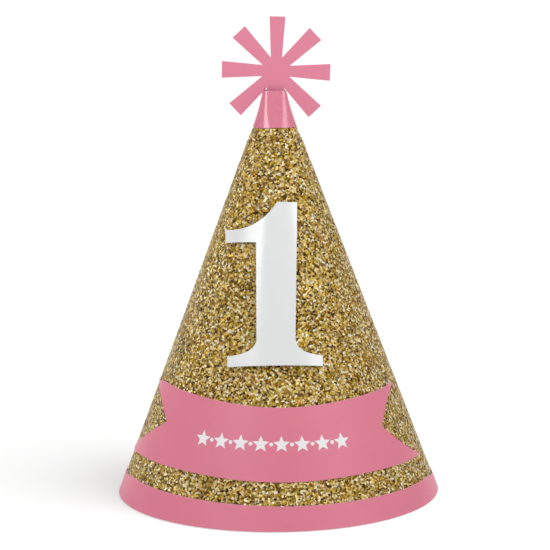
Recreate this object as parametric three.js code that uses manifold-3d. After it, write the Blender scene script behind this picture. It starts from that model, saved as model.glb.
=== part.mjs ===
// A rolled card party hat with a push-in starburst topper.
// Millimetres, +Z up, origin at the centre of the hem, front towards -Y, lapped edge at the back.
import * as THREE from "three";
import { TessellateModifier } from "three/addons/modifiers/TessellateModifier.js";
import { mergeVertices } from "three/addons/utils/BufferGeometryUtils.js";
import Module from "manifold-3d";

// The cone
const HEM_RADIUS = 63.2; // outside of the card at the hem
const APEX_HEIGHT = 170; // where the cone's sides would meet
const SHELL_RIM = 160.4; // top of the card, where the tip is cut off
const CARD = 0.4; // thickness of the glitter card
const PAPER = 0.25; // thickness of the pink papers stuck on it
const GLUE = 0.1; // gap left for the glue between two layers
const FACET = 5; // degrees of azimuth in one facet

// The lap at the back: the sheet runs from LAP_START, under its own other edge, round to LAP_END
const LAP_START = -190;
const LAP_END = 180;
const LAP_RAMP = 155; // azimuth where the sheet starts to rise over its own edge
const LAP_FULL = 170; // azimuth where it has risen
const LAP_RISE = 0.7;
const LAP_BUTT = 0.6; // degrees left between a paper's free end and the lapped edge

// The pinched tip: round at its foot, pressed flat round the topper's tab at its rim
const PINCH_FOOT = 140;
const CREASE_FULL = 155; // height from which the flat in front keeps its width
const CREASE_HALF = 2.7; // half the width of that flat
const SPREAD_FOOT = 146; // height where the tip starts to spread sideways
const PINCH_SPREAD = 1.2; // how much it has spread at the rim, each side
const CAP_TUCK = 0.4; // how far the card is drawn in under the cap, each side
const RIM_DROP = 1; // how much lower the rim is at its sides, where the topper's lowest rays pass
const PINCH_ROWS = 9;

// The papers
const BAND_LOW = 0.15;
const BAND_HIGH = 9.25;
const BAND_SWELL = 0.4; // how far its top edge rises halfway between the front and each side
const BANNER_LOW = 17.9;
const BANNER_LOW_SWELL = 0.95;
const BANNER_HIGH = 44.9;
const BANNER_HIGH_SWELL = 0.75;
const BANNER_RISE = 1.9; // how far the banner's top edge climbs towards its ends
const PAPER_TILT = 0.8; // the band and the banner sit this much higher at the hat's right
const HIGH_DIP = 2.2; // how much lower their top edges run round the back than in front
const LOW_DIP = 1.4; // the same for the banner's lower edge
const DIP_START = 72; // azimuth, on both sides, where the edges start to come down
const DIP_END = 91;
const CAP_LOW = 146.7;
const CAP_BOW = 0.6; // the cap's lower edge stands this much higher at the front and back
const CAP_RIM = 160.75;

// The banner's ends: azimuth and height of each notch, azimuth of each tail's point, and how far each
// notch's edges are bowed, by a quarter of this at their middle
const BANNER_LEFT = { notch: -59, notchHeight: 34.8, highTail: -94, lowTail: -94, highBow: 13, lowBow: -2.5 };
const BANNER_RIGHT = { notch: 52, notchHeight: 33.4, highTail: 75.5, lowTail: 77, highBow: 10, lowBow: -5.5 };
const TAIL_TIP = 0.4; // the points are cut this blunt
const TAIL_STEP = 2.5; // degrees between the points of a bowed edge

// The elastic's holes
const HOLE_RADIUS = 1.25;
const HOLE_HEIGHT = 13.8;
const HOLE_AZIMUTH = 97;

// The figure, drawn on the flat sheet: x to the right, distances down the slope from the apex
const FIGURE_CARD = 0.5;
const FIGURE_STANDOFF = 1.2;
const FIGURE_TOP = 53.1;
const FIGURE_FOOT = 116.8;
const STEM_TOP_RIGHT = 7.9; // the stem's right side leans in towards its foot
const STEM_FOOT_RIGHT = 6.85;
const STEM_TOP_LEFT = -7.35;
const STEM_FOOT_LEFT = -7.65;
const FOOT_LEFT = -19.15;
const FOOT_RIGHT = 17.35;
const FOOT_THICKNESS = 4.15;
const BRACKET_DROP = 6.6; // height of the curve between stem and foot
const FLAG_LEFT = -21.1;
const FLAG_TOP = 62.3;
const FLAG_CORNER = { x: -20.4, slope: 67.7 }; // the flag's lower left corner
const FLAG_BOTTOM = 68.7; // where the flag meets the stem
const FIGURE_EDGE = 4.5; // longest edge of a triangle once the figure is bent

// The foam pads behind the figure: centre and size on the flat sheet
const PAD_THICKNESS = FIGURE_STANDOFF - GLUE - 0.15;
const PADS = [
  { name: "foam_pad_flag", x: -14, slope: 65.6, width: 9, height: 3 },
  { name: "foam_pad_stem_high", x: 0, slope: 72, width: 10, height: 9 },
  { name: "foam_pad_stem_low", x: 0, slope: 97, width: 10, height: 9 },
  { name: "foam_pad_foot_left", x: -11, slope: 114.8, width: 10, height: 3 },
  { name: "foam_pad_foot_right", x: 10, slope: 114.8, width: 10, height: 3 },
];

// The topper
const TOPPER_CARD = 0.4;
const TOPPER_CENTRE = 168.3; // height of the starburst's centre
const RAY_COUNT = 8;
const RAY_LENGTH = 21.1;
const TOP_RAY_LENGTH = 21.35;
const LOW_RAY_LENGTH = 22; // of the two rays beside the tab
const TAB_LENGTH = 21.3;
const HUB_RADIUS = 5.7; // where two rays' edges meet
const RAY_END_HALF = 3.3; // half the width of a ray at its square end
const TOP_RAY_END_HALF = 3.1; // the top ray is a little narrower
const TAB_HALF = 3.4;
const TAB_CHAMFER = 1;
const TOPPER_LEAN = THREE.MathUtils.degToRad(2.2);
const LEAN_DEPTH = 17.4; // the topper leans about a point this far below its centre

const GOLD = { color: 0xb29055, roughness: 0.35, metalness: 0.7 };
const PINK_PAPER = { color: 0xdc8597, roughness: 0.55, metalness: 0 };
const PINK_GLOSS = { color: 0xdc8496, roughness: 0.2, metalness: 0 };
const PINK_CARD = { color: 0xe28ca0, roughness: 0.6, metalness: 0 };
const WHITE_CARD = { color: 0xefefef, roughness: 0.4, metalness: 0 };
const WHITE_FOAM = { color: 0xf2f2ee, roughness: 0.9, metalness: 0 };
const CLEAR_GLUE = { color: 0xe6e2d8, roughness: 0.5, metalness: 0 };

const SLANT = Math.hypot(HEM_RADIUS, APEX_HEIGHT);
const CONE_SINE = HEM_RADIUS / SLANT; // of the angle between the axis and the side
const CONE_COSINE = APEX_HEIGHT / SLANT;

const wasm = await Module();
wasm.setup();

function toSolid(geometry) {
  const bare = geometry.clone();
  bare.deleteAttribute("normal");
  bare.deleteAttribute("uv");
  const merged = mergeVertices(bare, 1e-4);
  return new wasm.Manifold(
    new wasm.Mesh({
      numProp: 3,
      vertProperties: merged.attributes.position.array,
      triVerts: new Uint32Array(merged.index.array),
    }),
  );
}

function toGeometry(solid) {
  const mesh = solid.getMesh();
  const geometry = new THREE.BufferGeometry();
  geometry.setAttribute("position", new THREE.BufferAttribute(mesh.vertProperties, 3));
  geometry.setIndex(new THREE.BufferAttribute(mesh.triVerts, 1));
  geometry.computeVertexNormals();
  return geometry;
}

function makePiece(name, geometry, look) {
  const mesh = new THREE.Mesh(geometry, new THREE.MeshStandardMaterial(look));
  mesh.name = name;
  return mesh;
}

// --- Where a point of the sheet lies once the hat is rolled ---

// A point of the hat's horizontal section: azimuth in degrees from the front towards +X, height, and
// distance outside the card. The section is a circle, and in the tip a flat with a round side at each end.
// The card can't stretch, so the section's depth follows from its width and its circumference.
function sectionPoint(azimuth, height, out) {
  const radius = (HEM_RADIUS * (APEX_HEIGHT - height)) / APEX_HEIGHT;
  const spread = Math.max(0, (height - SPREAD_FOOT) / (CAP_RIM - SPREAD_FOOT));
  const flat = CREASE_HALF * THREE.MathUtils.smoothstep(height, PINCH_FOOT, CREASE_FULL);
  const tuck = CAP_TUCK * THREE.MathUtils.smoothstep(height, PINCH_FOOT, CAP_LOW);
  const sideWidth = radius - tuck + PINCH_SPREAD * spread * spread - flat;
  const sideRadius = radius - (2 * flat) / Math.PI;
  const depth = Math.sqrt(2 * sideRadius * sideRadius - sideWidth * sideWidth);

  const turned = THREE.MathUtils.euclideanModulo(azimuth + 180, 360) - 180;
  const atBack = Math.abs(turned) > 90;
  const quarter = (atBack ? 180 - Math.abs(turned) : Math.abs(turned)) / 90;
  const along = (quarter * Math.PI * radius) / 2;
  let x = along;
  let y = depth + out;
  if (along > flat) {
    const angle = (along - flat) / sideRadius;
    x = flat + (sideWidth + out) * Math.sin(angle);
    y = (depth + out) * Math.cos(angle);
  }
  return new THREE.Vector3(Math.sign(turned) * x, atBack ? y : -y, height);
}

// How far the rolled sheet has risen over its own edge.
function lapRise(azimuth) {
  return LAP_RISE * THREE.MathUtils.smoothstep(azimuth, LAP_RAMP, LAP_FULL);
}

// The same point on the flat facet that it belongs to, so that layers on one another stay parallel.
function wrapPoint(azimuth, height, out) {
  const start = Math.floor(azimuth / FACET) * FACET;
  const from = sectionPoint(start, height, out + lapRise(start));
  const to = sectionPoint(start + FACET, height, out + lapRise(start + FACET));
  return from.lerp(to, (azimuth - start) / FACET);
}

// Both ends of a stretch of azimuth and every whole step between them.
function facetLines(from, to, step) {
  const lines = [from];
  for (let line = Math.floor(from / step) * step + step; line < to; line += step) lines.push(line);
  return [...lines, to];
}

// A closed sheet between two offsets from the cone. low and high give its edges' heights by azimuth, and
// fractions places the rows between them.
function wrappedSheet({ from, to, low, high, inside, outside, fractions = [0, 1], step = FACET }) {
  const columns = facetLines(from, to, step);
  const rows = fractions.length;
  const points = [];
  for (const out of [inside, outside])
    for (const azimuth of columns)
      for (const fraction of fractions) {
        const height = THREE.MathUtils.lerp(low(azimuth), high(azimuth), fraction);
        points.push(...wrapPoint(azimuth, height, out).toArray());
      }
  const at = (side, column, row) => (side * columns.length + column) * rows + row;
  const faces = [];
  const quad = (a, b, c, d) => faces.push(a, b, c, a, c, d);
  const last = columns.length - 1;
  const top = rows - 1;
  for (let i = 0; i < last; i++) {
    for (let j = 0; j < top; j++) {
      quad(at(1, i, j), at(1, i + 1, j), at(1, i + 1, j + 1), at(1, i, j + 1));
      quad(at(0, i, j), at(0, i, j + 1), at(0, i + 1, j + 1), at(0, i + 1, j));
    }
    quad(at(0, i, 0), at(0, i + 1, 0), at(1, i + 1, 0), at(1, i, 0));
    quad(at(0, i, top), at(1, i, top), at(1, i + 1, top), at(0, i + 1, top));
  }
  for (let j = 0; j < top; j++) {
    quad(at(0, 0, j), at(1, 0, j), at(1, 0, j + 1), at(0, 0, j + 1));
    quad(at(0, last, j), at(0, last, j + 1), at(1, last, j + 1), at(1, last, j));
  }
  const geometry = new THREE.BufferGeometry();
  geometry.setAttribute("position", new THREE.Float32BufferAttribute(points, 3));
  geometry.setIndex(faces);
  geometry.computeVertexNormals();
  return geometry;
}

const level = (height) => () => height;

// Edges of the band and the banner tilt a little across the hat, swell between its front and its sides, and
// come down as they go round the back.
const tilted = (height, swell, dip) => (azimuth) => {
  const angle = THREE.MathUtils.degToRad(azimuth);
  const dipped = dip * THREE.MathUtils.smoothstep(Math.abs(azimuth), DIP_START, DIP_END);
  return height - PAPER_TILT * Math.sin(angle) + swell * Math.pow(Math.sin(2 * angle), 2) - dipped;
};

// The tip's rim, which dips at each side.
const rimEdge = (height) => (azimuth) =>
  height - RIM_DROP * Math.pow(Math.sin(THREE.MathUtils.degToRad(azimuth)), 24);

// The cap's lower edge, cut straighter than the cone's own rings.
function capFoot(azimuth) {
  const cosine = Math.cos(THREE.MathUtils.degToRad(azimuth));
  return CAP_LOW + CAP_BOW * cosine * cosine;
}

const evenRows = (count) => Array.from({ length: count + 1 }, (_, row) => row / count);

// --- The rolled card ---

function coneShell() {
  const straight = PINCH_FOOT / SHELL_RIM;
  const pinched = evenRows(PINCH_ROWS).map((share) => straight + (1 - straight) * share);
  const sheet = wrappedSheet({
    from: LAP_START,
    to: LAP_END,
    low: level(0),
    high: rimEdge(SHELL_RIM),
    inside: -CARD,
    outside: 0,
    fractions: [0, ...pinched],
  });
  let solid = toSolid(sheet);
  for (const side of [-1, 1]) {
    const punch = new THREE.CylinderGeometry(HOLE_RADIUS, HOLE_RADIUS, 12, 20);
    punch.rotateZ(Math.PI / 2);
    punch.translate(HEM_RADIUS - 5, 0, HOLE_HEIGHT);
    punch.rotateZ(THREE.MathUtils.degToRad(side * HOLE_AZIMUTH - 90));
    solid = solid.subtract(toSolid(punch));
  }
  return makePiece("cone_shell", toGeometry(solid), GOLD);
}

function seamGlueStrip() {
  const gap = (LAP_RISE - CARD) / 4;
  const sheet = wrappedSheet({
    from: LAP_START + 1,
    to: -LAP_END - 1,
    low: level(2),
    high: level(PINCH_FOOT - 1),
    inside: gap,
    outside: LAP_RISE - CARD - gap,
  });
  return makePiece("seam_glue_strip", sheet, CLEAR_GLUE);
}

// --- The pink papers ---

function hemBand() {
  const sheet = wrappedSheet({
    from: -LAP_END + LAP_BUTT,
    to: LAP_END,
    low: level(BAND_LOW),
    high: tilted(BAND_HIGH, BAND_SWELL, HIGH_DIP),
    inside: GLUE,
    outside: GLUE + PAPER,
  });
  return makePiece("hem_band", sheet, PINK_PAPER);
}

function tipCap() {
  const sheet = wrappedSheet({
    from: -LAP_END + 3 * LAP_BUTT,
    to: LAP_END,
    low: capFoot,
    high: rimEdge(CAP_RIM),
    inside: GLUE,
    outside: GLUE + PAPER,
    fractions: evenRows(PINCH_ROWS),
  });
  return makePiece("tip_cap", sheet, PINK_GLOSS);
}

const bannerLow = tilted(BANNER_LOW, BANNER_LOW_SWELL, LOW_DIP);

function bannerHigh(azimuth) {
  const sine = Math.sin(THREE.MathUtils.degToRad(azimuth));
  return tilted(BANNER_HIGH, BANNER_HIGH_SWELL, HIGH_DIP)(azimuth) + BANNER_RISE * sine * sine;
}

// The line that splits the banner: level between the notches, and each notch's own bowed edge beyond them.
function splitLine(tailAzimuth, tailHeight, bowName) {
  return (azimuth) => {
    const end = azimuth < 0 ? BANNER_LEFT : BANNER_RIGHT;
    const beyond = (azimuth - end.notch) / (end[tailAzimuth] - end.notch);
    const straight = THREE.MathUtils.lerp(end.notchHeight, tailHeight(end[tailAzimuth]), beyond);
    if (beyond > 0) return straight + end[bowName] * beyond * (1 - beyond);
    const across = (azimuth - BANNER_LEFT.notch) / (BANNER_RIGHT.notch - BANNER_LEFT.notch);
    return THREE.MathUtils.lerp(BANNER_LEFT.notchHeight, BANNER_RIGHT.notchHeight, across);
  };
}

// One half of the banner, in three stretches that share their ends, so that each notch has a corner.
function bannerHalf(tailAzimuth, low, high) {
  const corners = [
    BANNER_LEFT[tailAzimuth],
    BANNER_LEFT.notch,
    BANNER_RIGHT.notch,
    BANNER_RIGHT[tailAzimuth],
  ];
  const stretches = corners.slice(1).map((to, index) =>
    toSolid(
      wrappedSheet({
        from: corners[index],
        to,
        low,
        high,
        inside: GLUE,
        outside: GLUE + PAPER,
        step: index === 1 ? FACET : TAIL_STEP,
      }),
    ),
  );
  return stretches.reduce((joined, stretch) => joined.add(stretch));
}

function banner() {
  const highTip = (azimuth) => bannerHigh(azimuth) - TAIL_TIP;
  const lowTip = (azimuth) => bannerLow(azimuth) + TAIL_TIP;
  const upper = bannerHalf("highTail", splitLine("highTail", highTip, "highBow"), bannerHigh);
  const lower = bannerHalf("lowTail", bannerLow, splitLine("lowTail", lowTip, "lowBow"));
  return makePiece("banner", toGeometry(upper.add(lower)), PINK_PAPER);
}

// --- The figure and its pads ---

// Bends a solid drawn on the flat sheet (x right, y up the slope from the apex, z outwards) round the cone.
function bendOnCone(geometry, standoff) {
  const position = geometry.getAttribute("position");
  for (let i = 0; i < position.count; i++) {
    const x = position.getX(i);
    const y = position.getY(i);
    const azimuth = THREE.MathUtils.radToDeg(Math.atan2(x, -y) / CONE_SINE);
    const height = APEX_HEIGHT - Math.hypot(x, y) * CONE_COSINE;
    const point = sectionPoint(azimuth, height, standoff + position.getZ(i));
    position.setXYZ(i, point.x, point.y, point.z);
  }
  geometry.deleteAttribute("normal");
  geometry.deleteAttribute("uv");
  const closed = mergeVertices(geometry, 1e-4);
  closed.computeVertexNormals();
  return closed;
}

function figureOutline() {
  const foot = -FIGURE_FOOT;
  const footTop = foot + FOOT_THICKNESS;
  const bracketTop = footTop + BRACKET_DROP;
  const shape = new THREE.Shape();
  shape.moveTo(FOOT_LEFT, foot);
  shape.lineTo(FOOT_RIGHT, foot);
  shape.lineTo(FOOT_RIGHT, footTop);
  shape.quadraticCurveTo(STEM_FOOT_RIGHT, footTop + 0.5, STEM_FOOT_RIGHT, bracketTop);
  shape.lineTo(STEM_TOP_RIGHT, -FIGURE_TOP);
  shape.lineTo(0.5, -FIGURE_TOP);
  shape.quadraticCurveTo(-7.3, -FLAG_TOP - 3.5, FLAG_LEFT, -FLAG_TOP);
  shape.lineTo(FLAG_CORNER.x, -FLAG_CORNER.slope);
  shape.lineTo(STEM_TOP_LEFT, -FLAG_BOTTOM);
  shape.lineTo(STEM_FOOT_LEFT, bracketTop);
  shape.quadraticCurveTo(STEM_FOOT_LEFT, footTop + 0.5, FOOT_LEFT, footTop);
  return shape;
}

function numeralOne() {
  const cut = new THREE.ExtrudeGeometry(figureOutline(), {
    depth: FIGURE_CARD,
    bevelEnabled: false,
    curveSegments: 8,
  });
  const fine = new TessellateModifier(FIGURE_EDGE, 24).modify(cut);
  return makePiece("numeral_one", bendOnCone(fine, FIGURE_STANDOFF), WHITE_CARD);
}

function foamPad({ name, x, slope, width, height }) {
  const block = new THREE.BoxGeometry(width, height, PAD_THICKNESS, 6, 2, 1);
  block.translate(x, -slope, PAD_THICKNESS / 2);
  return makePiece(name, bendOnCone(block, GLUE), WHITE_FOAM);
}

// --- The topper ---

// The starburst: rays that widen outwards to square ends, and a straight tab in place of the lowest ray.
function topperOutline() {
  const halfStep = Math.PI / RAY_COUNT;
  const rootHalf = HUB_RADIUS * Math.sin(halfStep);
  const root = HUB_RADIUS * Math.cos(halfStep);
  const points = [];
  for (let ray = 0; ray < RAY_COUNT; ray++) {
    const isTab = ray === 0;
    const turn = -Math.PI / 2 + 2 * ray * halfStep;
    const place = (along, across) =>
      points.push(new THREE.Vector2(along, across).rotateAround(new THREE.Vector2(), turn));
    if (isTab) {
      place(TAB_LENGTH - TAB_CHAMFER, -TAB_HALF);
      place(TAB_LENGTH, -TAB_HALF + TAB_CHAMFER);
      place(TAB_LENGTH, TAB_HALF - TAB_CHAMFER);
      place(TAB_LENGTH - TAB_CHAMFER, TAB_HALF);
      place(tabRoot(rootHalf, root), TAB_HALF);
      continue;
    }
    const besideTab = ray === 1 || ray === RAY_COUNT - 1;
    const pointsUp = ray === RAY_COUNT / 2;
    const length = besideTab ? LOW_RAY_LENGTH : pointsUp ? TOP_RAY_LENGTH : RAY_LENGTH;
    const endHalf = pointsUp ? TOP_RAY_END_HALF : RAY_END_HALF;
    place(length, -endHalf);
    place(length, endHalf);
    if (ray < RAY_COUNT - 1) place(root, rootHalf);
  }
  points.push(new THREE.Vector2(-TAB_HALF, -tabRoot(rootHalf, root)));
  return new THREE.Shape(points);
}

// How far below the centre the tab's side meets the edge of the ray beside it.
function tabRoot(rootHalf, root) {
  const widening = (RAY_END_HALF - rootHalf) / (RAY_LENGTH - root);
  const halfAtCentre = rootHalf - widening * root;
  const diagonal = Math.SQRT1_2;
  return (halfAtCentre + diagonal * TAB_HALF * (1 + widening)) / (diagonal * (1 - widening));
}

function topper() {
  const card = new THREE.ExtrudeGeometry(topperOutline(), { depth: TOPPER_CARD, bevelEnabled: false });
  card.translate(0, LEAN_DEPTH, -TOPPER_CARD / 2);
  card.rotateX(Math.PI / 2);
  const piece = makePiece("topper", card, PINK_CARD);
  piece.position.z = TOPPER_CENTRE - LEAN_DEPTH;
  piece.rotation.y = TOPPER_LEAN;
  return piece;
}

const hat = new THREE.Group();
hat.add(coneShell(), seamGlueStrip());
hat.add(hemBand(), banner(), tipCap());
hat.add(numeralOne(), ...PADS.map(foamPad));
hat.add(topper());

export default hat;
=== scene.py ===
"""A rolled card party hat: glitter cone, pink papers, raised figure one and a push-in starburst topper."""

import math

import bpy
import numpy as np
from mathutils import Matrix, Vector
from mathutils.geometry import delaunay_2d_cdt
from mathutils.kdtree import KDTree


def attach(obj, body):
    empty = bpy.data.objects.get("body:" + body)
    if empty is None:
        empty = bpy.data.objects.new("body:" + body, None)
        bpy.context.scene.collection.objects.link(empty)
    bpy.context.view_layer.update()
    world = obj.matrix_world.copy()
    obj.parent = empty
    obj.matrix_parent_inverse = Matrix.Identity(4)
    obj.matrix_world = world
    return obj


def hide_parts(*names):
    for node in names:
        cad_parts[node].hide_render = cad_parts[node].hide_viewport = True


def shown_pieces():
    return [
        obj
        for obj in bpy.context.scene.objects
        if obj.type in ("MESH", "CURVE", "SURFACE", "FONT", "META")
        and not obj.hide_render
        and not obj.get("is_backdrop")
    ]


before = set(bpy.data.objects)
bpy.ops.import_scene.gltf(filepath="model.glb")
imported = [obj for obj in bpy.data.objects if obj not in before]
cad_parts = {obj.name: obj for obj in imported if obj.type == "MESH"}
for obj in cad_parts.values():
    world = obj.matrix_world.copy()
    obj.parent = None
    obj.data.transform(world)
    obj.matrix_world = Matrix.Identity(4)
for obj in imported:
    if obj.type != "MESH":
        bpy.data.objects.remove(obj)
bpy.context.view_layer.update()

MM = 0.001

# --- Camera ---

CAMERA_PLACE = Vector((-0.546, -1467.207, 399.004)) * MM
CAMERA_ELEVATION = math.radians(12.0026)
CAMERA_ROLL = math.radians(-0.5925)
CAMERA_LENS = 249.43


def make_camera():
    camera = bpy.data.objects.new("camera", bpy.data.cameras.new("camera"))
    bpy.context.scene.collection.objects.link(camera)
    right = Vector((1, 0, 0))
    up = Vector((0, math.sin(CAMERA_ELEVATION), math.cos(CAMERA_ELEVATION)))
    back = Vector((0, -math.cos(CAMERA_ELEVATION), math.sin(CAMERA_ELEVATION)))
    cosine, sine = math.cos(CAMERA_ROLL), math.sin(CAMERA_ROLL)
    across = cosine * right + sine * up
    upright = cosine * up - sine * right
    turn = Matrix((across, upright, back)).transposed().to_4x4()
    camera.matrix_world = Matrix.Translation(CAMERA_PLACE) @ turn
    camera.data.sensor_width = 36
    camera.data.lens = CAMERA_LENS
    camera.data.clip_start = 0.05
    camera.data.clip_end = 60
    bpy.context.scene.camera = camera


make_camera()

# --- Sizes, in millimetres and degrees, as the CAD has them ---

HEM_RADIUS, APEX_HEIGHT, SHELL_RIM = 63.2, 170.0, 160.4
CARD, PAPER, GLUE = 0.4, 0.25, 0.1
LAP_START, LAP_END = -190.0, 180.0
LAP_RAMP, LAP_FULL, LAP_RISE, LAP_BUTT = 155.0, 170.0, 0.7, 0.6
PINCH_FOOT, CREASE_FULL, CREASE_HALF = 140.0, 155.0, 2.7
SPREAD_FOOT, PINCH_SPREAD, CAP_TUCK, RIM_DROP = 146.0, 1.2, 0.4, 1.0
BAND_LOW, BAND_HIGH, BAND_SWELL = 0.15, 9.25, 0.4
BANNER_LOW, BANNER_LOW_SWELL = 17.9, 0.95
BANNER_HIGH, BANNER_HIGH_SWELL, BANNER_RISE, PAPER_TILT = 44.9, 0.75, 1.9, 0.8
HIGH_DIP, LOW_DIP, DIP_START, DIP_END = 2.2, 1.4, 72.0, 91.0
CAP_LOW, CAP_BOW, CAP_RIM = 146.7, 0.6, 160.75
TAIL_TIP = 0.4
HOLE_RADIUS, HOLE_HEIGHT, HOLE_AZIMUTH = 1.25, 13.8, 97.0
FIGURE_CARD, FIGURE_STANDOFF = 0.5, 1.2
FIGURE_TOP, FIGURE_FOOT = 53.1, 116.8
STEM_TOP_LEFT, STEM_TOP_RIGHT, STEM_FOOT_LEFT, STEM_FOOT_RIGHT = -7.35, 7.9, -7.65, 6.85
FOOT_LEFT, FOOT_RIGHT, FOOT_THICKNESS, BRACKET_DROP = -19.15, 17.35, 4.15, 6.6
FLAG_LEFT, FLAG_TOP, FLAG_BOTTOM, FLAG_CORNER = -21.1, 62.3, 68.7, (-20.4, -67.7)
TOPPER_CARD, TOPPER_CENTRE = 0.4, 168.3
RAY_COUNT, RAY_LENGTH, TOP_RAY_LENGTH, LOW_RAY_LENGTH, TAB_LENGTH = 8, 21.1, 21.35, 22.0, 21.3
HUB_RADIUS, RAY_END_HALF, TOP_RAY_END_HALF, TAB_HALF, TAB_CHAMFER = 5.7, 3.3, 3.1, 3.4, 1.0
TOPPER_LEAN, LEAN_DEPTH = math.radians(2.2), 17.4

# Each end of the banner: azimuth and height of its notch, azimuths of its upper and lower point, and the bows
# of the notch's upper and lower edge
BANNER_LEFT = (-59.0, 34.8, -94.0, -94.0, 13.0, -2.5)
BANNER_RIGHT = (52.0, 33.4, 75.5, 77.0, 10.0, -5.5)

SLANT = math.hypot(HEM_RADIUS, APEX_HEIGHT)
CONE_SINE = HEM_RADIUS / SLANT
CONE_COSINE = APEX_HEIGHT / SLANT

# Bevels along the sheets' edges
CONE_BEVEL, FIGURE_BEVEL, TOPPER_BEVEL = 0.05, 0.07, 0.06
PAPER_BEVEL, GLUE_BEVEL, PRINT_BEVEL = 0.04, 0.03, 0.01

# How far apart the points of each mesh are
GLITTER_SPACING, HOLE_SPACING, PAPER_SPACING, CAP_SPACING, GLUE_SPACING = 0.74, 0.5, 1.1, 0.45, 1.4
CARD_SPACING, PRINT_SPACING, PAD_SPACING = 0.9, 0.7, 0.5

# --- The rolled sheet ---


def smoothstep(value, low, high):
    share = np.clip((value - low) / (high - low), 0, 1)
    return share * share * (3 - 2 * share)


def section_points(azimuth, height, out):
    """Points of the hat's level section: a circle, and in the tip a flat with a round side at each end."""
    radius = HEM_RADIUS * (APEX_HEIGHT - height) / APEX_HEIGHT
    spread = np.maximum(0, (height - SPREAD_FOOT) / (CAP_RIM - SPREAD_FOOT))
    flat = CREASE_HALF * smoothstep(height, PINCH_FOOT, CREASE_FULL)
    tuck = CAP_TUCK * smoothstep(height, PINCH_FOOT, CAP_LOW)
    side_width = radius - tuck + PINCH_SPREAD * spread * spread - flat
    side_radius = radius - 2 * flat / np.pi
    depth = np.sqrt(2 * side_radius**2 - side_width**2)
    turned = (azimuth + 180) % 360 - 180
    at_back = np.abs(turned) > 90
    quarter = np.where(at_back, 180 - np.abs(turned), np.abs(turned)) / 90
    along = quarter * np.pi * radius / 2
    angle = np.maximum(0, along - flat) / side_radius
    x = np.where(along > flat, flat + (side_width + out) * np.sin(angle), along)
    y = (depth + out) * np.cos(angle)
    return np.stack([np.sign(turned) * x, np.where(at_back, y, -y), height], -1)


def to_flat(azimuth, height):
    """Where a point of the cone lies on the sheet laid flat: x to the right, y up the slope, apex at 0."""
    slope = (APEX_HEIGHT - np.asarray(height, float)) / CONE_COSINE
    turn = np.radians(azimuth) * CONE_SINE
    return np.stack([slope * np.sin(turn), -slope * np.cos(turn)], -1)


def from_flat(flat):
    azimuth = np.degrees(np.arctan2(flat[:, 0], -flat[:, 1]) / CONE_SINE)
    height = APEX_HEIGHT - np.hypot(flat[:, 0], flat[:, 1]) * CONE_COSINE
    return azimuth, height


def roll(flat, out):
    """The flat sheet's points on the rolled hat, out millimetres outside the card."""
    azimuth, height = from_flat(flat)
    rise = LAP_RISE * smoothstep(azimuth, LAP_RAMP, LAP_FULL)
    return section_points(azimuth, height, out + rise)


def tilted(height, swell=0.0, dip=0.0):
    return lambda azimuth: (
        height
        - PAPER_TILT * np.sin(np.radians(azimuth))
        + swell * np.sin(2 * np.radians(azimuth)) ** 2
        - dip * smoothstep(np.abs(azimuth), DIP_START, DIP_END)
    )


def rim_edge(height):
    return lambda azimuth: height - RIM_DROP * np.sin(np.radians(azimuth)) ** 24


def level(height):
    return lambda azimuth: height + 0 * azimuth


def cap_foot(azimuth):
    return CAP_LOW + CAP_BOW * np.cos(np.radians(azimuth)) ** 2


banner_low = tilted(BANNER_LOW, BANNER_LOW_SWELL, LOW_DIP)


def banner_high(azimuth):
    rise = BANNER_RISE * np.sin(np.radians(azimuth)) ** 2
    return tilted(BANNER_HIGH, BANNER_HIGH_SWELL, HIGH_DIP)(azimuth) + rise


# --- Filling an outline with triangles, and giving it thickness ---

EDGE_STEPS = 721  # along a curved edge, while its length is measured
RIM_CLEARANCE = 0.62  # the least distance from the outline to a point inside it, in spacings
GRID_SEED = 1
MERGE_DISTANCE = 1e-7
SHARPEST_CORNER = 0.8  # keeps the inset at a pointed corner short
SHARP_ANGLE = math.radians(28)
SQUARE = ((-1, -1), (1, -1), (1, 1), (-1, 1))  # the ways from a square's middle to its corners


def stretch(start, end, spacing):
    """Points from start up to, and not with, end, no further apart than spacing."""
    start, end = np.asarray(start, float), np.asarray(end, float)
    count = max(1, math.ceil(np.linalg.norm(end - start) / spacing))
    return start + (end - start) * (np.arange(count) / count)[:, None]


def closed_loop(corners, spacing):
    """A polygon's outline with points no further apart than spacing."""
    following = corners[1:] + corners[:1]
    return np.concatenate([stretch(a, b, spacing) for a, b in zip(corners, following)])


def curve(start, control, end, count):
    """A quadratic curve's points, start and end among them."""
    start, control, end = (np.asarray(p, float) for p in (start, control, end))
    t = np.linspace(0, 1, count + 1)[:, None]
    return list((1 - t) ** 2 * start + 2 * t * (1 - t) * control + t * t * end)


def edge_line(edge, start, end, spacing):
    """The flat sheet's points along an edge given as height by azimuth, from start up to, not with, end."""
    steps = np.linspace(start, end, EDGE_STEPS)
    fine = to_flat(steps, edge(steps))
    lengths = np.concatenate([[0], np.cumsum(np.linalg.norm(np.diff(fine, axis=0), axis=1))])
    count = max(1, math.ceil(lengths[-1] / spacing))
    azimuth = np.interp(lengths[-1] * np.arange(count) / count, lengths, steps)
    return to_flat(azimuth, edge(azimuth))


def sheet_loop(start, end, low, high, spacing):
    """The outline of a sheet between two azimuths and two edges, anticlockwise."""
    corner = {
        (a, e): to_flat(a, edge(a)) for a in (start, end) for e, edge in (("low", low), ("high", high))
    }
    return np.concatenate(
        [
            edge_line(low, start, end, spacing),
            stretch(corner[end, "low"], corner[end, "high"], spacing),
            edge_line(high, end, start, spacing),
            stretch(corner[start, "high"], corner[start, "low"], spacing),
        ]
    )


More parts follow.
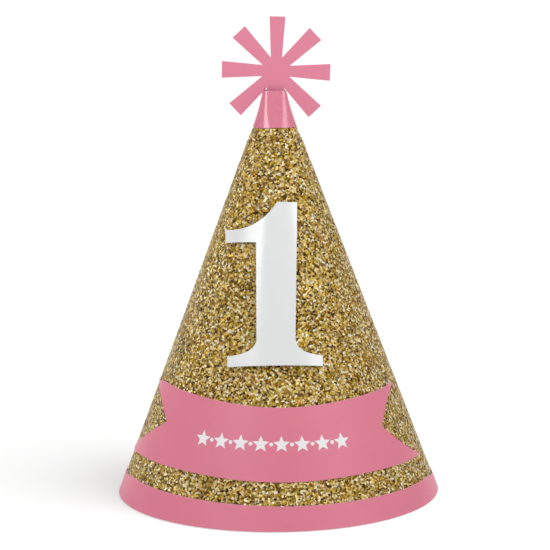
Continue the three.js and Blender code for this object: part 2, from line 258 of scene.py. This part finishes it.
def is_inside(points, loop):
    """Which points lie inside a closed outline."""
    inside = np.zeros(len(points), bool)
    x, y = points[:, 0], points[:, 1]
    for (ax, ay), (bx, by) in zip(loop, np.roll(loop, -1, axis=0)):
        if ay == by:
            continue
        crosses = (ay > y) != (by > y)
        inside ^= crosses & (x < (bx - ax) * (y - ay) / (by - ay) + ax)
    return inside


def near_outline(points, loops, distance):
    """Which points lie closer to the outlines' own points than distance."""
    outline = np.concatenate(loops)
    tree = KDTree(len(outline))
    for index, (x, y) in enumerate(outline):
        tree.insert((x, y, 0), index)
    tree.balance()
    return np.array([tree.find((x, y, 0))[2] < distance for x, y in points], bool)


def fill(loops, spacing, jitter=0.0):
    """Points and triangles of about one size, inside the first outline and outside the others."""
    outer = loops[0]
    low, high = outer.min(0), outer.max(0)
    rows = np.arange(low[1], high[1], spacing * math.sqrt(0.75))
    columns = np.arange(low[0], high[0] + spacing, spacing)
    grid = np.stack(np.meshgrid(columns, rows), -1)
    grid[1::2, :, 0] += spacing / 2
    grid = grid.reshape(-1, 2)
    grid += np.random.default_rng(GRID_SEED).uniform(-jitter, jitter, grid.shape) * spacing
    grid = grid[is_inside(grid, outer)]
    for hole in loops[1:]:
        grid = grid[~is_inside(grid, hole)]
    grid = grid[~near_outline(grid, loops, RIM_CLEARANCE * spacing)]
    points = np.concatenate([*loops, grid])
    edges, first = [], 0
    for loop in loops:
        count = len(loop)
        edges += [(first + i, first + (i + 1) % count) for i in range(count)]
        first += count
    found = delaunay_2d_cdt([Vector(p) for p in points], edges, [], 0, MERGE_DISTANCE, False)
    vertices, faces = found[0], found[2]
    points = np.array([tuple(v) for v in vertices])
    faces = np.array(faces, int)
    middles = points[faces].mean(1)
    keep = is_inside(middles, outer)
    for hole in loops[1:]:
        keep &= ~is_inside(middles, hole)
    faces = faces[keep]
    used, faces = np.unique(faces, return_inverse=True)
    faces = faces.reshape(-1, 3)
    points = points[used]
    a, b, c = points[faces[:, 0]], points[faces[:, 1]], points[faces[:, 2]]
    area = (b - a)[:, 0] * (c - a)[:, 1] - (b - a)[:, 1] * (c - a)[:, 0]
    faces[area < 0] = faces[area < 0][:, ::-1]
    return points, faces


def rim_of(faces):
    """The directed edges that only one triangle has."""
    edges = np.concatenate([faces[:, [0, 1]], faces[:, [1, 2]], faces[:, [2, 0]]])
    size = faces.max() + 1
    forward = edges[:, 0] * size + edges[:, 1]
    backward = edges[:, 1] * size + edges[:, 0]
    return edges[~np.isin(forward, backward)]


def inward(points, rim):
    """At each point of the rim, the step in the flat sheet that moves both of its edges in by 1."""
    step = points[rim[:, 1]] - points[rim[:, 0]]
    step /= np.linalg.norm(step, axis=1, keepdims=True)
    normal = np.stack([-step[:, 1], step[:, 0]], -1)
    total = np.zeros_like(points)
    np.add.at(total, rim[:, 0], normal)
    np.add.at(total, rim[:, 1], normal)
    square = np.maximum((total**2).sum(1, keepdims=True), SHARPEST_CORNER)
    return total * 2 / square


FACE, BACK, EDGE = 0, 1, 2


def thicken(filled, place, wall, roughen=None):
    """A closed solid from a filled outline. place(flat, out) puts points in space, and wall lists (inset, out)
    down the side, from the face to the back. roughen(flat) adds to out on the face, away from the rim."""
    points, faces = filled
    count = len(points)
    rim = rim_of(faces)
    step = inward(points, rim)
    on_rim = np.unique(rim)
    number = np.full(count, -1)
    number[on_rim] = np.arange(len(on_rim))
    (face_inset, face_out), *between, (back_inset, back_out) = wall
    rough = np.zeros(count) if roughen is None else roughen(points)
    rough[on_rim] = 0
    layers = [place(points + step * face_inset, face_out + rough)]
    for inset, out in between:
        layers.append(place(points[on_rim] + step[on_rim] * inset, np.full(len(on_rim), out)))
    layers.append(place(points + step * back_inset, np.full(count, back_out)))
    starts = np.cumsum([0] + [len(layer) for layer in layers])
    rings = [on_rim]
    rings += [starts[i + 1] + np.arange(len(on_rim)) for i in range(len(between))]
    rings.append(starts[-2] + on_rim)
    start, end = number[rim[:, 0]], number[rim[:, 1]]
    quads = [
        np.stack([upper[end], upper[start], lower[start], lower[end]], -1)
        for upper, lower in zip(rings, rings[1:])
    ]
    triangles = np.concatenate([faces, faces[:, ::-1] + starts[-2]])
    quads = np.concatenate(quads)
    kinds = np.repeat([FACE, BACK, EDGE], [len(faces), len(faces), len(quads)])
    return np.concatenate(layers), triangles, quads, kinds


def joined(solids):
    """Several solids as one mesh's arrays."""
    parts, first = [], 0
    for points, triangles, quads, kinds in solids:
        sheet_kinds, side_kinds = kinds[: len(triangles)], kinds[len(triangles) :]
        parts.append((points, triangles + first, quads + first, sheet_kinds, side_kinds))
        first += len(points)
    points, triangles, quads, sheet_kinds, side_kinds = (np.concatenate(part) for part in zip(*parts))
    return points, triangles, quads, np.concatenate([sheet_kinds, side_kinds])


def make_piece(name, solid, materials, body, nodes=(), faceted=False):
    points, triangles, quads, kinds = solid
    mesh = bpy.data.meshes.new(name)
    mesh.vertices.add(len(points))
    mesh.vertices.foreach_set("co", (points * MM).astype(np.float32).ravel())
    corners = np.concatenate([triangles.ravel(), quads.ravel()])
    sizes = np.concatenate([np.full(len(triangles), 3), np.full(len(quads), 4)])
    mesh.loops.add(len(corners))
    mesh.loops.foreach_set("vertex_index", corners.astype(np.int32))
    mesh.polygons.add(len(sizes))
    mesh.polygons.foreach_set("loop_start", (np.cumsum(sizes) - sizes).astype(np.int32))
    mesh.update(calc_edges=True)
    for material in materials:
        mesh.materials.append(material)
    mesh.polygons.foreach_set("material_index", kinds.astype(np.int32))
    smooth = np.ones(len(kinds), bool)
    if faceted:
        smooth[kinds == FACE] = False
    mesh.polygons.foreach_set("use_smooth", smooth)
    mesh.set_sharp_from_angle(angle=SHARP_ANGLE)
    mesh.validate()
    piece = bpy.data.objects.new(name, mesh)
    bpy.context.scene.collection.objects.link(piece)
    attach(piece, body)
    if nodes:
        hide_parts(*nodes)
    return piece


def cut_edge(inside, outside, bevel):
    """The side of a sheet with a small bevel along both of its edges."""
    return [(bevel, outside), (0, outside - bevel), (0, inside + bevel), (bevel, inside)]


# --- Materials ---


class Nodes:
    """A material's node tree, with short ways to add and join nodes."""

    def __init__(self, name):
        self.material = bpy.data.materials.new(name)
        self.material.use_nodes = True
        self.tree = self.material.node_tree
        self.shader = self.tree.nodes["Principled BSDF"]
        self.object = self.add("ShaderNodeTexCoord").outputs["Object"]

    def add(self, kind, inputs=None, **settings):
        node = self.tree.nodes.new(kind)
        for key, value in settings.items():
            setattr(node, key, value)
        for key, value in (inputs or {}).items():
            self.put(node.inputs[key], value)
        return node

    def put(self, socket, value):
        if isinstance(value, bpy.types.NodeSocket):
            self.tree.links.new(value, socket)
        else:
            socket.default_value = value

    def noise(self, scale, detail=3.0, roughness=0.5):
        inputs = {"Vector": self.object, "Scale": scale, "Detail": detail, "Roughness": roughness}
        return self.add("ShaderNodeTexNoise", inputs).outputs["Fac"]

    def cells(self, scale):
        return self.add("ShaderNodeTexVoronoi", {"Vector": self.object, "Scale": scale}, feature="F1")

    def ramp(self, fac, stops):
        node = self.add("ShaderNodeValToRGB", {"Fac": fac})
        elements = node.color_ramp.elements
        while len(elements) < len(stops):
            elements.new(0.5)
        for element, (position, colour) in zip(elements, stops):
            element.position = position
            element.color = (*colour, 1)
        return node.outputs["Color"]

    def map(self, value, from_low, from_high, to_low, to_high):
        inputs = {
            "Value": value,
            "From Min": from_low,
            "From Max": from_high,
            "To Min": to_low,
            "To Max": to_high,
        }
        return self.add("ShaderNodeMapRange", inputs).outputs["Result"]

    def math(self, operation, *values):
        return self.add("ShaderNodeMath", dict(enumerate(values)), operation=operation).outputs[0]

    def vector(self, operation, *values):
        return self.add("ShaderNodeVectorMath", dict(enumerate(values)), operation=operation).outputs[0]

    def mix(self, fac, first, second, blend="MIX"):
        node = self.add("ShaderNodeMix", data_type="RGBA", blend_type=blend)
        colour_inputs = {0: fac, 6: first, 7: second}  # the node's sockets for colours, which go by number
        for index, value in colour_inputs.items():
            self.put(node.inputs[index], value)
        return node.outputs[2]

    def bump(self, height, strength, distance):
        inputs = {"Height": height, "Strength": strength, "Distance": distance}
        return self.add("ShaderNodeBump", inputs).outputs["Normal"]

    def set(self, **sockets):
        for name, value in sockets.items():
            self.put(self.shader.inputs[name.replace("_", " ")], value)
        return self.material


def linear(*srgb):
    """sRGB from 0 to 255 as linear colour."""
    share = [c / 255 for c in srgb]
    return tuple(c / 12.92 if c <= 0.04045 else ((c + 0.055) / 1.055) ** 2.4 for c in share)


def rgba(*srgb):
    return (*linear(*srgb), 1)


# Glitter colours from its darkest flakes to its brightest, each with the share of flakes darker than it. The
# middle golds are the flakes' own colour; the near-black browns at the dark end are painted shade between
# flakes, and the near-white creams at the bright end are painted glints.
FLAKE_TONES_WITH_PAINTED_LIGHT = [
    (0.00, (44, 22, 0)),
    (0.05, (72, 42, 0)),
    (0.15, (112, 76, 6)),
    (0.30, (146, 108, 20)),
    (0.50, (176, 138, 42)),
    (0.68, (206, 168, 72)),
    (0.82, (238, 204, 116)),
    (0.91, (255, 232, 168)),
    (0.96, (255, 247, 212)),
    (1.00, (255, 253, 240)),
]
FLAKE_SCALE = 1400
FLAKE_TILT = 0.62


def glitter():
    """Flakes as small cells: each has its own colour, roughness and tilt. The colours carry painted glints at
    their bright end and painted shade at their dark end.
    """
    nodes = Nodes("gold_glitter")
    flakes = nodes.cells(FLAKE_SCALE)
    chance = nodes.add("ShaderNodeSeparateColor", {"Color": flakes.outputs["Color"]})
    # Each flake's colour from the ramp: gold, with painted glints in the creams and painted shade in the
    # near-black browns
    colour = nodes.ramp(chance.outputs["Red"], [(p, linear(*c)) for p, c in FLAKE_TONES_WITH_PAINTED_LIGHT])
    tinted = nodes.add(
        "ShaderNodeHueSaturation",
        {
            "Hue": nodes.map(chance.outputs["Green"], 0, 1, 0.482, 0.524),
            "Saturation": nodes.map(chance.outputs["Blue"], 0, 1, 0.75, 1.12),
            "Color": colour,
        },
    ).outputs["Color"]
    patchy = nodes.mix(nodes.noise(60, 2), rgba(236, 236, 236), rgba(255, 255, 255))
    away = nodes.vector("SUBTRACT", flakes.outputs["Color"], (0.5, 0.5, 0.5))
    tilt = nodes.add("ShaderNodeVectorMath", {0: away, "Scale": 2 * FLAKE_TILT}, operation="SCALE").outputs[0]
    normal = nodes.add("ShaderNodeNewGeometry").outputs["Normal"]
    tipped = nodes.vector("NORMALIZE", nodes.vector("ADD", normal, tilt))
    return nodes.set(
        Base_Color=nodes.mix(1.0, tinted, patchy, "MULTIPLY"),
        Metallic=0.3,
        Specular_IOR_Level=0.15,
        Roughness=nodes.map(chance.outputs["Blue"], 0, 1, 0.28, 0.5),
        Normal=tipped,
    )


def paper(name, colour, roughness, mottle=0.03, grain=0.2, coat=0.0, gloss=0.5):
    """Smooth coated paper: a faint cloudiness in its colour, and a fine fibre grain."""
    nodes = Nodes(name)
    darker = tuple(c * (1 - 2 * mottle) for c in linear(*colour)) + (1,)
    clouds = nodes.noise(75, 3, 0.55)
    fibres = nodes.noise(2600, 3, 0.6)
    tone = nodes.mix(nodes.map(clouds, 0.3, 0.7, 0, 1), darker, rgba(*colour))
    speck = nodes.map(fibres, 0.3, 0.7, 0.985, 1.015)
    grey = {"Red": speck, "Green": speck, "Blue": speck}
    shade = nodes.add("ShaderNodeCombineColor", grey).outputs["Color"]
    height = nodes.math("ADD", fibres, nodes.math("MULTIPLY", nodes.noise(500, 2), 1.5))
    return nodes.set(
        Base_Color=nodes.mix(1.0, tone, shade, "MULTIPLY"),
        Roughness=nodes.map(nodes.noise(400, 3), 0.3, 0.7, roughness - 0.04, roughness + 0.04),
        Specular_IOR_Level=gloss,
        Coat_Weight=coat,
        Coat_Roughness=0.12,
        Normal=nodes.bump(height, grain, 0.00003),
    )


def foam():
    nodes = Nodes("white_foam")
    cells = nodes.cells(5200).outputs["Distance"]
    tone = nodes.mix(nodes.map(cells, 0.1, 0.7, 0, 1), rgba(250, 250, 246), rgba(214, 213, 206))
    return nodes.set(Base_Color=tone, Roughness=0.9, Normal=nodes.bump(cells, 0.8, 0.0001))


def glue():
    nodes = Nodes("dried_glue")
    blotches = nodes.noise(350, 3)
    tone = nodes.mix(blotches, rgba(226, 220, 204), rgba(242, 239, 230))
    return nodes.set(
        Base_Color=tone,
        Roughness=nodes.map(blotches, 0.3, 0.7, 0.3, 0.55),
        Normal=nodes.bump(blotches, 0.5, 0.0002),
    )


glitter_face = glitter()
card_white = paper("card_white", (240, 239, 235), 0.6, mottle=0.015, grain=0.3)
card_core = paper("card_core", (232, 230, 224), 0.85, mottle=0.04, grain=0.9)
pink_paper = paper("pink_paper", (223, 125, 147), 0.42, mottle=0.02)
pink_edge = paper("pink_edge", (232, 168, 182), 0.8, mottle=0.04, grain=0.8)
pink_gloss = paper("pink_gloss", (220, 126, 147), 0.26, mottle=0.02, grain=0.08, coat=0.5, gloss=0.7)
pink_card = paper("pink_card", (222, 129, 153), 0.6, mottle=0.015, grain=0.25)
figure_white = paper("figure_white", (230, 231, 231), 0.2, mottle=0.006, grain=0.06, gloss=1.0)
print_white = paper("print_white", (240, 236, 237), 0.45, mottle=0.02, grain=0.2)
foam_white = foam()
glue_clear = glue()

# --- The rolled card, the papers that go right round it, and the glue in its lap ---

CAP_BUTT = 3 * LAP_BUTT
GLUE_INSET, GLUE_FOOT = 1.0, 2.0
GLITTER_JITTER = 0.22  # how far its points stray from a grid, in spacings
GLITTER_DEEP, GLITTER_PROUD = -0.15, 0.06
GRAIN_SEED = 7


def hole_loop(side):
    centre = to_flat(side * HOLE_AZIMUTH, HOLE_HEIGHT)
    count = math.ceil(2 * math.pi * HOLE_RADIUS / HOLE_SPACING)
    turn = 2 * np.pi * np.arange(count) / count
    return centre + HOLE_RADIUS * np.stack([np.cos(turn), np.sin(turn)], -1)


def glitter_grains(points):
    return np.random.default_rng(GRAIN_SEED).uniform(GLITTER_DEEP, GLITTER_PROUD, len(points))


def cone():
    loops = [sheet_loop(LAP_START, LAP_END, level(0), rim_edge(SHELL_RIM), GLITTER_SPACING)]
    loops += [hole_loop(side) for side in (-1, 1)]
    filled = fill(loops, GLITTER_SPACING, GLITTER_JITTER)
    return thicken(filled, roll, cut_edge(-CARD, 0, CONE_BEVEL), glitter_grains)


def wrapped(start, end, low, high, spacing, wall=None):
    """A sheet rolled round the cone between two azimuths and two edges: paper, unless wall is given."""
    filled = fill([sheet_loop(start, end, low, high, spacing)], spacing)
    return thicken(filled, roll, wall or cut_edge(GLUE, GLUE + PAPER, PAPER_BEVEL))


def hem_band():
    high = tilted(BAND_HIGH, BAND_SWELL, HIGH_DIP)
    return wrapped(-LAP_END + LAP_BUTT, LAP_END, level(BAND_LOW), high, PAPER_SPACING)


def tip_cap():
    return wrapped(-LAP_END + CAP_BUTT, LAP_END, cap_foot, rim_edge(CAP_RIM), CAP_SPACING)


def seam_glue():
    """A strip between the lap's two layers, a little inside their edges."""
    gap = (LAP_RISE - CARD) / 4
    wall = cut_edge(gap, LAP_RISE - CARD - gap, GLUE_BEVEL)
    start, end = LAP_START + GLUE_INSET, -LAP_END - GLUE_INSET
    return wrapped(start, end, level(GLUE_FOOT), level(PINCH_FOOT - GLUE_INSET), GLUE_SPACING, wall)


# --- The banner ---


def notch_edge(notch, tip, bow, outwards, spacing):
    """A bowed edge between a notch and a tail's point, each given as azimuth and height."""

    def height(azimuth):
        share = (azimuth - notch[0]) / (tip[0] - notch[0])
        return notch[1] + (tip[1] - notch[1]) * share + bow * share * (1 - share)

    start, end = (notch, tip) if outwards else (tip, notch)
    return edge_line(height, start[0], end[0], spacing)


def banner_outline(spacing):
    """Round the banner from its lower left point, with a notch in each end."""
    parts = [edge_line(banner_low, BANNER_LEFT[3], BANNER_RIGHT[3], spacing)]
    for end, on_right in ((BANNER_RIGHT, True), (BANNER_LEFT, False)):
        notch, notch_height, high, low, high_bow, low_bow = end
        low_tip = (low, banner_low(low) + TAIL_TIP)
        high_tip = (high, banner_high(high) - TAIL_TIP)
        notch_point = (notch, notch_height)
        if on_right:
            parts += [
                stretch(to_flat(low, banner_low(low)), to_flat(*low_tip), spacing),
                notch_edge(notch_point, low_tip, low_bow, False, spacing),
                notch_edge(notch_point, high_tip, high_bow, True, spacing),
                stretch(to_flat(*high_tip), to_flat(high, banner_high(high)), spacing),
                edge_line(banner_high, BANNER_RIGHT[2], BANNER_LEFT[2], spacing),
            ]
        else:
            parts += [
                stretch(to_flat(high, banner_high(high)), to_flat(*high_tip), spacing),
                notch_edge(notch_point, high_tip, high_bow, False, spacing),
                notch_edge(notch_point, low_tip, low_bow, True, spacing),
                stretch(to_flat(*low_tip), to_flat(low, banner_low(low)), spacing),
            ]
    return np.concatenate(parts)


def banner():
    filled = fill([banner_outline(PAPER_SPACING)], PAPER_SPACING)
    return thicken(filled, roll, cut_edge(GLUE, GLUE + PAPER, PAPER_BEVEL))


# --- The row of printed stars and dots on the banner ---

STAR_COUNT, STAR_POINTS = 8, 5
STAR_RADIUS, STAR_INNER = 3.35, 1.5
DOT_RADIUS, DOT_CORNERS = 0.75, 20
ROW_START, ROW_END, ROW_HEIGHT = -34.0, 28.0, 31.6
PRINT_GAP, PRINT_THICKNESS = 0.005, 0.03


def star_corners():
    index = np.arange(2 * STAR_POINTS)
    turns = np.pi / 2 + np.pi * index / STAR_POINTS
    reach = np.where(index % 2 == 0, STAR_RADIUS, STAR_INNER)
    return list(np.stack([reach * np.cos(turns), reach * np.sin(turns)], -1))


def dot_corners():
    turns = 2 * np.pi * np.arange(DOT_CORNERS) / DOT_CORNERS
    return list(DOT_RADIUS * np.stack([np.cos(turns), np.sin(turns)], -1))


def printed_row():
    base = GLUE + PAPER + PRINT_GAP
    wall = cut_edge(base, base + PRINT_THICKNESS, PRINT_BEVEL)
    last = 2 * STAR_COUNT - 2
    solids = []
    for index in range(last + 1):
        azimuth = ROW_START + (ROW_END - ROW_START) * index / last
        centre = to_flat(azimuth, tilted(ROW_HEIGHT)(azimuth))
        turn = math.radians(azimuth) * CONE_SINE
        across = np.array([math.cos(turn), math.sin(turn)])
        up = np.array([-math.sin(turn), math.cos(turn)])
        corners = star_corners() if index % 2 == 0 else dot_corners()
        loop = closed_loop([centre + across * x + up * y for x, y in corners], PRINT_SPACING)
        solids.append(thicken(fill([loop], PRINT_SPACING), roll, wall))
    return joined(solids)


# --- The figure and its foam pads ---


BRACKET_POINTS, FLAG_POINTS = 20, 28
BRACKET_PULL = 0.5  # how far above the foot is the point that bends each bracket
FLAG_START, FLAG_PULL = 0.5, (-7.3, -FLAG_TOP - 3.5)  # where the flag's upper curve begins, and what bends it


def figure_outline(spacing):
    """The figure on the flat sheet, anticlockwise from its foot's lower left corner."""
    foot = -FIGURE_FOOT
    foot_top = foot + FOOT_THICKNESS
    bracket_top = foot_top + BRACKET_DROP
    left_pull, right_pull = ((x, foot_top + BRACKET_PULL) for x in (STEM_FOOT_LEFT, STEM_FOOT_RIGHT))
    left_top, right_top = ((x, bracket_top) for x in (STEM_FOOT_LEFT, STEM_FOOT_RIGHT))
    corners = [(FOOT_LEFT, foot), (FOOT_RIGHT, foot)]
    corners += curve((FOOT_RIGHT, foot_top), right_pull, right_top, BRACKET_POINTS)
    corners += [(STEM_TOP_RIGHT, -FIGURE_TOP)]
    corners += curve((FLAG_START, -FIGURE_TOP), FLAG_PULL, (FLAG_LEFT, -FLAG_TOP), FLAG_POINTS)
    corners += [FLAG_CORNER, (STEM_TOP_LEFT, -FLAG_BOTTOM)]
    corners += curve(left_top, left_pull, (FOOT_LEFT, foot_top), BRACKET_POINTS)
    return closed_loop(corners, spacing)


def figure():
    filled = fill([figure_outline(CARD_SPACING)], CARD_SPACING)
    return thicken(filled, roll, cut_edge(FIGURE_STANDOFF, FIGURE_STANDOFF + FIGURE_CARD, FIGURE_BEVEL))


# Each pad's middle, as x and its distance from the apex down the slope, then its width and height
PADS = {
    "flag": (-14, 65.6, 9, 3),
    "stem_high": (0, 72, 10, 9),
    "stem_low": (0, 97, 10, 9),
    "foot_left": (-11, 114.8, 10, 3),
    "foot_right": (10, 114.8, 10, 3),
}
PAD_FOOT, PAD_TOP = GLUE, FIGURE_STANDOFF - 0.15
# A pad's side, which its two tapes leave slightly waisted: how far in it is, by the share of its height
PAD_SIDE = [(0.05, 1), (0, 0.93), (0.12, 0.75), (0.17, 0.5), (0.12, 0.25), (0, 0.07), (0.05, 0)]


def foam_pad(x, slope, width, height):
    corners = [(x + i * width / 2, -slope + j * height / 2) for i, j in SQUARE]
    wall = [(inset, PAD_FOOT + (PAD_TOP - PAD_FOOT) * share) for inset, share in PAD_SIDE]
    return thicken(fill([closed_loop(corners, PAD_SPACING)], PAD_SPACING), roll, wall)


# --- The topper ---


def tab_root(root_half, root):
    """How far below the centre the tab's side meets the edge of the ray beside it."""
    widening = (RAY_END_HALF - root_half) / (RAY_LENGTH - root)
    half_at_centre = root_half - widening * root
    diagonal = math.sqrt(0.5)
    return (half_at_centre + diagonal * TAB_HALF * (1 + widening)) / (diagonal * (1 - widening))


def topper_outline(spacing):
    """Rays that widen outwards to square ends, and a straight tab in place of the lowest ray."""
    lengths = {1: LOW_RAY_LENGTH, RAY_COUNT - 1: LOW_RAY_LENGTH, RAY_COUNT // 2: TOP_RAY_LENGTH}
    half_step = math.pi / RAY_COUNT
    root_half, root = HUB_RADIUS * math.sin(half_step), HUB_RADIUS * math.cos(half_step)
    meeting = tab_root(root_half, root)
    corners = []
    for ray in range(RAY_COUNT):
        turn = -math.pi / 2 + 2 * ray * half_step
        if ray == 0:
            places = [
                (TAB_LENGTH - TAB_CHAMFER, -TAB_HALF),
                (TAB_LENGTH, -TAB_HALF + TAB_CHAMFER),
                (TAB_LENGTH, TAB_HALF - TAB_CHAMFER),
                (TAB_LENGTH - TAB_CHAMFER, TAB_HALF),
                (meeting, TAB_HALF),
            ]
        else:
            length = lengths.get(ray, RAY_LENGTH)
            end_half = TOP_RAY_END_HALF if ray == RAY_COUNT // 2 else RAY_END_HALF
            places = [(length, -end_half), (length, end_half)]
            if ray < RAY_COUNT - 1:
                places.append((root, root_half))
        for along, across in places:
            x = along * math.cos(turn) - across * math.sin(turn)
            y = along * math.sin(turn) + across * math.cos(turn)
            corners.append((x, y))
    corners.append((-TAB_HALF, -meeting))
    return closed_loop(corners, spacing)


def stand(flat, out):
    """The topper's card stands up, leaning a little to the hat's right about a point below its centre."""
    x, z = flat[:, 0], flat[:, 1] + LEAN_DEPTH
    cosine, sine = math.cos(TOPPER_LEAN), math.sin(TOPPER_LEAN)
    height = cosine * z - sine * x + TOPPER_CENTRE - LEAN_DEPTH
    return np.stack([cosine * x + sine * z, -out * np.ones(len(x)), height], -1)


def starburst():
    filled = fill([topper_outline(CARD_SPACING)], CARD_SPACING)
    return thicken(filled, stand, cut_edge(-TOPPER_CARD / 2, TOPPER_CARD / 2, TOPPER_BEVEL))


# --- Making the pieces ---

pink_sheet = [pink_paper, card_core, pink_edge]
cap_sheet = [pink_gloss, card_core, pink_edge]
glitter_sheet = [glitter_face, card_white, card_core]
figure_sheet = [figure_white, card_core, figure_white]

make_piece("glitter_cone", cone(), glitter_sheet, "hat", ["cone_shell"], faceted=True)
make_piece("seam_glue", seam_glue(), [glue_clear] * 3, "hat", ["seam_glue_strip"])
make_piece("pink_hem_band", hem_band(), pink_sheet, "hat", ["hem_band"])
make_piece("pink_banner", banner(), pink_sheet, "hat", ["banner"])
make_piece("banner_stars", printed_row(), [print_white] * 3, "hat")
make_piece("pink_tip_cap", tip_cap(), cap_sheet, "hat", ["tip_cap"])
make_piece("figure_one", figure(), figure_sheet, "hat", ["numeral_one"])
for pad, sizes in PADS.items():
    make_piece(f"foam_{pad}", foam_pad(*sizes), [foam_white] * 3, "hat", [f"foam_pad_{pad}"])
make_piece("starburst", starburst(), [pink_card, pink_card, pink_edge], "topper", ["topper"])

# --- Floor, world and lights ---

FLOOR_HALF, FLOOR_HEIGHT = 15.0, -0.0002
FLOOR_TONE, FLOOR_GLOW = 0.3, 0.56
SEEN_WORLD, LIGHTING_WORLD = 1.0, 0.16
HAT_MIDDLE = Vector((0, 0, 0.09))


def make_floor():
    mesh = bpy.data.meshes.new("floor")
    corners = [(x * FLOOR_HALF, y * FLOOR_HALF, FLOOR_HEIGHT) for x, y in SQUARE]
    mesh.from_pydata(corners, [], [(0, 1, 2, 3)])
    floor = bpy.data.objects.new("floor", mesh)
    bpy.context.scene.collection.objects.link(floor)
    nodes = Nodes("floor_white")
    mesh.materials.append(
        nodes.set(
            Base_Color=(FLOOR_TONE, FLOOR_TONE, FLOOR_TONE, 1),
            Roughness=0.9,
            Specular_IOR_Level=0.0,
            Emission_Color=(1, 1, 1, 1),
            Emission_Strength=FLOOR_GLOW,
        )
    )
    floor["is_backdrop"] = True
    return floor


def make_world(seen, lighting):
    """White where the camera looks past the object, and a softer white that lights it."""
    world = bpy.data.worlds.new("world")
    bpy.context.scene.world = world
    world.use_nodes = True
    tree = world.node_tree
    background = tree.nodes["Background"]
    path = tree.nodes.new("ShaderNodeLightPath")
    strength = tree.nodes.new("ShaderNodeMapRange")
    strength.inputs["To Min"].default_value = lighting
    strength.inputs["To Max"].default_value = seen
    tree.links.new(path.outputs["Is Camera Ray"], strength.inputs["Value"])
    background.inputs["Color"].default_value = (1, 1, 1, 1)
    tree.links.new(strength.outputs["Result"], background.inputs["Strength"])


def group_of(name, objects):
    group = bpy.data.collections.new(name)
    for item in objects:
        group.objects.link(item)
    return group


def make_light(name, kind, azimuth, elevation, energy, receivers, distance=1.0, **settings):
    """A light aimed at the hat's middle. Azimuth 0 is the front and 90 the hat's right hand side as seen."""
    light = bpy.data.objects.new(name, bpy.data.lights.new(name, kind))
    light.data.energy = energy
    for key, value in settings.items():
        setattr(light.data, key, value)
    turn, rise = math.radians(azimuth), math.radians(elevation)
    away = Vector((math.sin(turn) * math.cos(rise), -math.cos(turn) * math.cos(rise), math.sin(rise)))
    light.location = HAT_MIDDLE + away * distance
    light.rotation_mode = "QUATERNION"
    light.rotation_quaternion = away.to_track_quat("Z", "Y")
    bpy.context.scene.collection.objects.link(light)
    light.light_linking.receiver_collection = receivers


bpy.context.scene.view_settings.view_transform = "Standard"
floor = make_floor()
make_world(SEEN_WORLD, LIGHTING_WORLD)
only_floor = group_of("only_floor", [floor])
only_hat = group_of("only_hat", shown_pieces())
make_light("floor_sun", "SUN", 66, 58, 5.2, only_floor, angle=math.radians(38))
softbox = {"distance": 0.9, "shape": "RECTANGLE", "size": 0.55, "size_y": 0.54}
make_light("key", "AREA", -43, 43, 4.3, only_hat, **softbox)
make_light("side", "AREA", 54, 36, 2.3, only_hat, **softbox)
make_light("fill", "AREA", 92, 42, 2.4, only_hat, **softbox)
make_light("back_left", "AREA", -135, 38, 3.0, only_hat, **softbox)
make_light("back_right", "AREA", 165, 38, 3.0, only_hat, **softbox)
